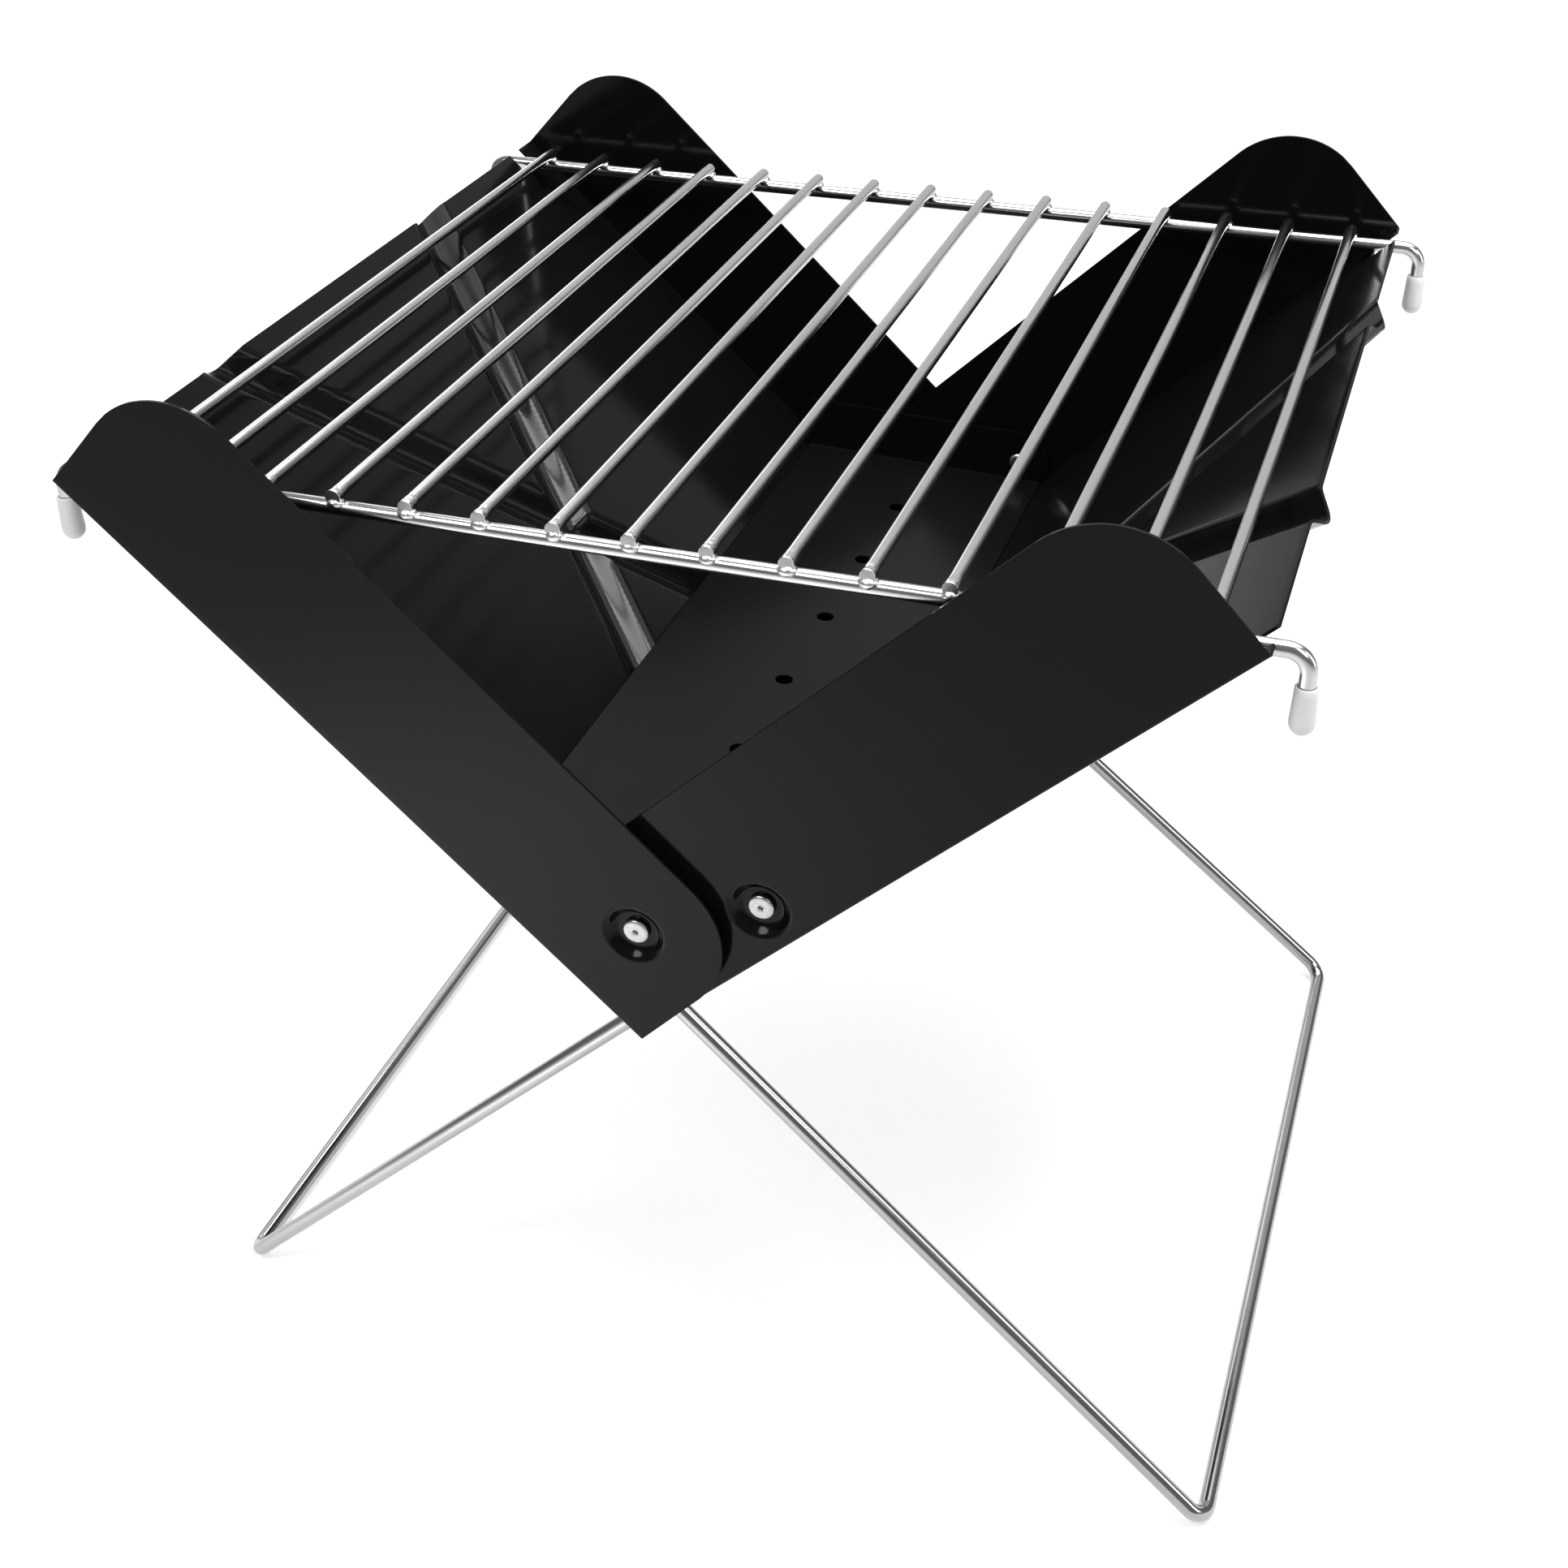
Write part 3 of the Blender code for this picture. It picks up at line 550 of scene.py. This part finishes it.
def make_plate():
    """Floor with two end walls that are rounded about the plate's rivets."""
    along = Vector((-cos(PLATE_TILT), 0.0, sin(PLATE_TILT)))
    up = Vector((sin(PLATE_TILT), 0.0, cos(PLATE_TILT)))
    matrix = Matrix((along, up.cross(along), up)).transposed().to_4x4()
    matrix.translation = PLATE_PIVOT
    inward = LEFT_FRAME.to_3x3().col[2]
    under = -(PLATE_DROP + SHEET)
    start = inward.dot(PLATE_PIVOT - APEX) + inward.dot(up) * under
    reach = (start - SHEET - 2 * GAP) / -inward.dot(along)

    lip = under + BEND_RADIUS
    floor_start = -(PLATE_SWING**2 - lip**2) ** 0.5
    rows = [-PLATE_SWING * cos(t) for t in np.linspace(0.02, pi / 2, 18)]
    rows = [x for x in rows if abs(x - floor_start) > PLATE_ROW_GAP] + [floor_start]
    rows += spaced([0.0, reach], PLATE_ROW_STEP)[1:]
    x = np.array(sorted(rows))
    arc = np.sqrt(np.clip(PLATE_SWING**2 - x**2, 0, None))
    top = np.where(x < 0, arc, PLATE_SWING)
    low = np.where(x < floor_start, -arc, lip)
    fraction = np.linspace(0.0, 1.0, 10)
    height = low[:, None] + (top - low)[:, None] * fraction[None, :]
    bend = [pi / 2 * i / BEND_STEPS for i in range(1, BEND_STEPS)]
    flat = PLATE_HALF_DEPTH - BEND_RADIUS
    floor = np.array(spaced([-flat, flat], PLATE_STEP))
    round_y = flat + BEND_RADIUS * np.sin(bend)
    round_z = under + BEND_RADIUS * (1 - np.cos(bend))
    ones = np.ones((len(x), 1))
    side = np.full_like(height, PLATE_HALF_DEPTH)
    y = np.hstack([-side, -ones * round_y[::-1], ones * floor, ones * round_y, side])
    z = np.hstack([
        height[:, ::-1], ones * round_z[::-1], ones * np.full(len(floor), under), ones * round_z, height
    ])
    points = np.stack([x[:, None] * np.ones_like(y), y, z], axis=-1)
    middle = (x[1:] + x[:-1])[:, None] / 2
    walls = np.zeros(y.shape[1] - 1, bool)
    walls[: len(fraction) - 1] = walls[-(len(fraction) - 1):] = True
    mesh = grid_mesh("plate", points, (middle > floor_start) | walls[None, :])
    mesh.flip_normals()
    plate = add_piece(
        "plate", mesh, plate_enamel, "base_plate", "base_plate_enamel", "base_plate", matrix=matrix
    )
    thicken(plate)

    hole_along = (PLATE_PIVOT.x - APEX.x) / cos(PLATE_TILT)
    for index in range(HOLE_COUNT):
        centre = (index - (HOLE_COUNT - 1) / 2) * HOLE_PITCH + HOLE_MIDDLE
        punch(plate, matrix @ Matrix.Translation((hole_along, -centre, under)), HOLE_RADIUS)


def punch(piece, matrix, radius):
    """Cut a round hole along the matrix's Z."""
    mesh = bpy.data.meshes.new("punch")
    builder = bmesh.new()
    bmesh.ops.create_cone(
        builder, cap_ends=True, segments=40, radius1=radius, radius2=radius, depth=8 * SHEET
    )
    builder.to_mesh(mesh)
    builder.free()
    cutter = bpy.data.objects.new("punch", mesh)
    bpy.context.scene.collection.objects.link(cutter)
    cutter.matrix_world = matrix
    cut = piece.modifiers.new("hole", "BOOLEAN")
    cut.object = cutter
    cut.operation = "DIFFERENCE"
    bpy.context.view_layer.update()
    evaluated = piece.evaluated_get(bpy.context.evaluated_depsgraph_get())
    baked = bpy.data.meshes.new_from_object(evaluated)
    piece.modifiers.clear()
    piece.data = baked
    bpy.data.objects.remove(cutter)


# Rivets

def make_rivet(name, node, place, end, tail_at):
    """Pop rivet along Y. tail_at is where its upset tail begins, outward from the middle."""
    low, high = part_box(node)
    face = high.y if end > 0 else -low.y
    # Radius and depth in mm, from the middle of the head outward and then down the shank
    bore = [(0.0, 1.0), (0.6, 0.95), (0.78, 0.2), (0.95, 0.04), (1.3, 0.0)]
    groove = [(1.55, 0.1), (1.8, 0.06)]
    brim = [(3.3, 0.08), (3.75, 0.2), (4.0, 0.5), (4.05, 0.9), (3.95, 1.5), (2.0, 1.5)]
    tail = [(2.0, 0.0), (3.2, 0.0), (3.45, 0.4), (3.2, 0.9), (2.2, 1.2), (0.0, 1.25)]
    profile = [(radius * MM, face - depth * MM) for radius, depth in bore + groove + brim]
    profile += [(radius * MM, tail_at - depth * MM) for radius, depth in tail]
    matrix = Matrix.Translation(place) @ Matrix.Rotation(-pi / 2 * end, 4, "X")
    mesh = lathe_mesh(name, profile)
    add_piece(name, mesh, aluminium, "right_tray", "rivet_metal", node, matrix=matrix)


# Grate

def make_rod(index, height, dice):
    """Rod with a slight bow, thicker and sunk a little at its ends, where it was welded.

    Its front end is cut off square and its rear end is rounded. Returns its place along the crossbars.
    """
    x = APEX.x + (index - (ROD_COUNT - 1) / 2) * ROD_PITCH
    ends = [ROD_HALF_LENGTH - dice.uniform(0.0, ROD_UNEVENNESS) for _ in range(2)]
    path, radii = [], []
    for y in np.linspace(-ends[0] + 0.6 * MM, -ends[0] + ROD_FINE_END, 12):
        press = ease((-ends[0] + WELD_REACH - y) / WELD_EASE)
        path.append((x, y, height - FRONT_SINK * press))
        radii.append(ROD_RADIUS * (1 + dice.uniform(*FRONT_SWELL) * press))
    bow = dice.uniform(-ROD_BOW, ROD_BOW)
    for y in np.linspace(-ROD_BOWED, ROD_BOWED, 9):
        path.append((x + bow * (1 - (y / ROD_BOW_REACH) ** 2), y, height))
        radii.append(ROD_RADIUS)
    for y in np.linspace(ends[1] - ROD_FINE_END, ends[1] - 1.0 * MM, 8):
        press = ease((y - ends[1] + WELD_REACH) / WELD_EASE)
        path.append((x, y, height - REAR_SINK * press))
        radii.append(ROD_RADIUS * (1 + REAR_SWELL * press))
    rounding = (dice.uniform(*FRONT_ROUNDING), REAR_ROUNDING)
    number = f"{index + 1:02d}"
    mesh = tube_mesh(f"rod_{number}", path, radii, ROD_SIDES, rounding)
    add_piece(mesh.name, mesh, wire_metal, "grate", "chromed_wire", f"grate_rod_{number}")
    mesh.materials.append(cut_metal)
    for face in mesh.polygons[-2 * ROD_SIDES:]:
        face.material_index = 1
    return x


def add_weld(builder, x, y, height, dice):
    """Uneven blob of weld between a rod and its crossbar, a little outward of the crossbar's middle."""
    outward = WELD_OUTWARD if y > 0 else -WELD_OUTWARD
    spot = Vector((x, y + outward, height))
    size = Vector((dice.uniform(2.3, 2.9), dice.uniform(2.2, 2.7), 1.9)) * MM
    place = Matrix.LocRotScale(spot, None, size)
    made = bmesh.ops.create_icosphere(builder, subdivisions=3, radius=1.0, matrix=place)
    for vertex in made["verts"]:
        vertex.co += Vector([dice.uniform(-0.05, 0.05) * MM for _ in range(3)])


def make_grate():
    """Rods welded on top of two crossbars, whose capped ends hook down."""
    dice = Random(4)
    bar_height = APEX.z + CROSSBAR_ABOVE_APEX
    bar_top = bar_height + CROSSBAR_RADIUS
    welds = bmesh.new()
    for index in range(ROD_COUNT):
        x = make_rod(index, bar_top + ROD_RADIUS, dice)
        for y in (-CROSSBAR_Y, CROSSBAR_Y):
            add_weld(welds, x, y, bar_top - WELD_SINK, dice)
    mesh = bpy.data.meshes.new("grate_welds")
    welds.to_mesh(mesh)
    welds.free()
    mesh.shade_smooth()
    add_piece("grate_welds", mesh, weld_metal, "grate", "chromed_wire")

    for end, where in ((-1, "front"), (1, "rear")):
        y = end * CROSSBAR_Y
        low = bar_height - HOOK_DROP
        corners = [
            Vector((APEX.x - HOOK_X, y, low)), Vector((APEX.x - HOOK_X, y, bar_height)),
            Vector((APEX.x + HOOK_X, y, bar_height)), Vector((APEX.x + HOOK_X, y, low)),
        ]
        path = fillet(corners, (HOOK_BEND, HOOK_BEND))
        mesh = tube_mesh(f"crossbar_{where}", path, CROSSBAR_RADIUS, WIRE_SIDES)
        add_piece(mesh.name, mesh, wire_metal, "grate", "chromed_wire", f"grate_crossbar_{where}")
        for hand in ("left", "right"):
            make_cap(f"cap_{where}_{hand}", f"tip_cap_{where}_{hand}")


def make_cap(name, node):
    """Soft plastic cap on a hook's end, a little wider towards its round end."""
    low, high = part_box(node)
    middle = (low + high) / 2
    length = high.z - low.z
    radius = (high.x - low.x) / 2
    profile = [
        (CROSSBAR_RADIUS + 0.05 * MM, length - 0.3 * MM), (2.5 * MM, length), (2.85 * MM, length),
        (CAP_MOUTH_RADIUS, length - 0.25 * MM),
    ]
    profile += [
        (CAP_MOUTH_RADIUS + (radius - CAP_MOUTH_RADIUS) * t, length * (0.97 - 0.67 * t))
        for t in (0.2, 0.5, 0.8, 1.0)
    ]
    profile += [(radius * cos(t), radius * (1 - sin(t)) * 1.05) for t in np.linspace(0.15, pi / 2, 10)]
    mesh = lathe_mesh(name, profile, 40)
    add_piece(
        name, mesh, plastic, "grate", "cap_plastic", node,
        matrix=Matrix.Translation((middle.x, middle.y, low.z)),
    )


# Legs

def make_leg(name, side, foot_x, arm_y):
    """U of wire, pinned to the panel on the other side from its foot."""
    panel = LEFT_FRAME if side > 0 else RIGHT_FRAME
    pivot = panel @ Vector((LEG_PIVOT_ALONG, 0.0, -LEG_PIVOT_OUT))
    foot = Vector((APEX.x + side * foot_x, 0.0, LEG_RADIUS))
    at_pin, at_foot = arm_y
    places = [
        (pivot, at_pin - PIN_LENGTH), (pivot, at_pin), (foot, at_foot),
        (foot, -at_foot), (pivot, -at_pin), (pivot, PIN_LENGTH - at_pin),
    ]
    corners = [base + Vector((0.0, y, 0.0)) for base, y in places]
    path = fillet(corners, (PIN_BEND, LEG_BEND, LEG_BEND, PIN_BEND))
    mesh = tube_mesh(f"{name}_wire", path, LEG_RADIUS, WIRE_SIDES)
    add_piece(mesh.name, mesh, shaded_leg_metal, name, "chromed_wire", name)


def finish_clip(node):
    """The clips are shown as they are in the frame, with rounded edges."""
    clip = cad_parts[node]
    clip.data.materials.clear()
    clip.data.materials.append(enamel)
    edges = clip.modifiers.new("edges", "BEVEL")
    edges.width = CLIP_ROUNDING
    edges.segments = 2
    edges.limit_method = "ANGLE"


# Studio

FLOOR_HALF_SIZE = 6.0
FLOOR_GLOW = 0.6                 # lifts the shadows on the floor
WORLD_STRENGTH = 0.24


def make_floor():
    """Plain pale floor."""
    far = FLOOR_HALF_SIZE
    corners = [(-far, -far, 0), (far, -far, 0), (far, far, 0), (-far, far, 0)]
    mesh = mesh_from("floor", corners, [(0, 1, 2, 3)])
    floor = bpy.data.objects.new("floor", mesh)
    bpy.context.scene.collection.objects.link(floor)
    pale = Shader("floor", (0.36, 0.36, 0.36), roughness=0.9, Emission_Strength=FLOOR_GLOW)
    pale.set("Emission Color", (1.0, 1.0, 1.0, 1.0))
    mesh.materials.append(pale.material)


def hang_light(data, place, target, power):
    """Put a light in its place and turn it towards its target."""
    data.energy = power
    light = bpy.data.objects.new(data.name, data)
    bpy.context.scene.collection.objects.link(light)
    light.location = place
    light.rotation_euler = (Vector(target) - Vector(place)).to_track_quat("-Z", "Y").to_euler()


def add_light(name, place, target, size, power):
    """Softbox of a width and a height."""
    data = bpy.data.lights.new(name, "AREA")
    data.shape = "RECTANGLE"
    data.size, data.size_y = size
    hang_light(data, place, target, power)


def add_glow(place, target, spread, power):
    """Soft pool of light on the floor in front, which the flanges reflect."""
    data = bpy.data.lights.new("glow", "SPOT")
    data.spot_size = spread
    data.spot_blend = 1.0
    data.shadow_soft_size = 0.15
    hang_light(data, place, target, power)


def make_studio():
    """Floor, even grey surroundings and soft lights. Powers are in watts."""
    make_floor()
    world = bpy.data.worlds.new("studio")
    bpy.context.scene.world = world
    world.use_nodes = True
    background = world.node_tree.nodes["Background"]
    background.inputs["Color"].default_value = (1.0, 1.0, 1.0, 1.0)
    background.inputs["Strength"].default_value = WORLD_STRENGTH
    centre = (0.0, 0.0, 0.2)
    add_light("overhead", (0.1, 0.5, 1.7), centre, (1.7, 1.3), 42)
    add_light("back", (-0.2, 2.2, 1.2), centre, (3.0, 1.6), 9)
    add_light("back_left", (-1.5, 1.6, 1.0), centre, (1.2, 1.2), 7)
    add_light("front_left", (-0.66, -1.0, 1.6), centre, (0.8, 0.5), 20)
    add_light("front_right", (1.1, -0.6, 1.3), centre, (0.5, 0.8), 9)
    # The slope of each pressed groove shows this one as a bright stripe
    add_light("key", (0.27, -0.19, 1.65), (-0.07, -0.02, 0.23), (0.45, 0.45), 20)
    add_glow((-0.3, -0.75, 0.9), (-0.22, -0.43, 0.0), radians(30), 200)
    add_light("right", (1.6, 0.2, 0.8), centre, (0.5, 1.2), 9)
    bpy.context.scene.view_settings.view_transform = "Standard"


def make_camera():
    """Camera at the chosen viewing angle: above, in front and a little to the right."""
    place = (0.20365, -0.6123, 0.5925)
    right = Vector((0.94628, 0.32302, -0.01430))
    up = Vector((-0.16857, 0.53061, 0.83069))
    turn = Matrix((right, up, right.cross(up))).transposed().to_4x4()
    data = bpy.data.cameras.new("camera")
    data.sensor_width = 36.0
    data.lens = 49.097
    camera = bpy.data.objects.new("camera", data)
    bpy.context.scene.collection.objects.link(camera)
    camera.matrix_world = Matrix.Translation(place) @ turn
    bpy.context.scene.camera = camera


enamel = make_enamel("enamel", (0.0028, 0.0028, 0.0029), 0.13, 0.09, 0.004 * MM)
plate_enamel = make_enamel("plate_enamel", (0.0028, 0.0028, 0.003), 0.24, 0.08, 0.012 * MM)
wire_metal = make_wire_metal("wire_metal", (0.5, 0.5, 0.495), 0.19)
# The legs are the same chromed wire as the grate, with a darker colour: painted shade standing in for the
# dimmer surroundings that the legs reflect.
shaded_leg_metal = make_wire_metal("shaded_leg_metal", (0.37, 0.37, 0.37), 0.17)
weld_metal = make_weld_metal()
cut_metal = make_cut_metal()
aluminium = make_aluminium()
plastic = make_plastic()

make_tray("left_sheet", "left_tray", LEFT_FRAME, LEFT_HALF_DEPTH, (PIVOT_ALONG, PIVOT_FROM_PANEL), False)
make_tray(
    "right_sheet", "right_tray", RIGHT_FRAME, RIGHT_HALF_DEPTH, (PLATE_RIVET_ALONG, PLATE_RIVET_IN), True
)
make_plate()
for side_y, where in ((-1, "front"), (1, "rear")):
    make_rivet(f"hinge_rivet_{where}", f"tray_rivet_{where}", TRAY_PIVOT, side_y, RIGHT_HALF_DEPTH - SHEET)
    make_rivet(f"plate_pin_{where}", f"plate_rivet_{where}", PLATE_PIVOT, side_y, PLATE_HALF_DEPTH - SHEET)
    for hand in ("left", "right"):
        finish_clip(f"{hand}_leg_clip_{where}")
make_grate()
make_leg("right_leg", 1, RIGHT_FOOT_X, RIGHT_ARM_Y)
make_leg("left_leg", -1, LEFT_FOOT_X, LEFT_ARM_Y)
make_studio()
make_camera()
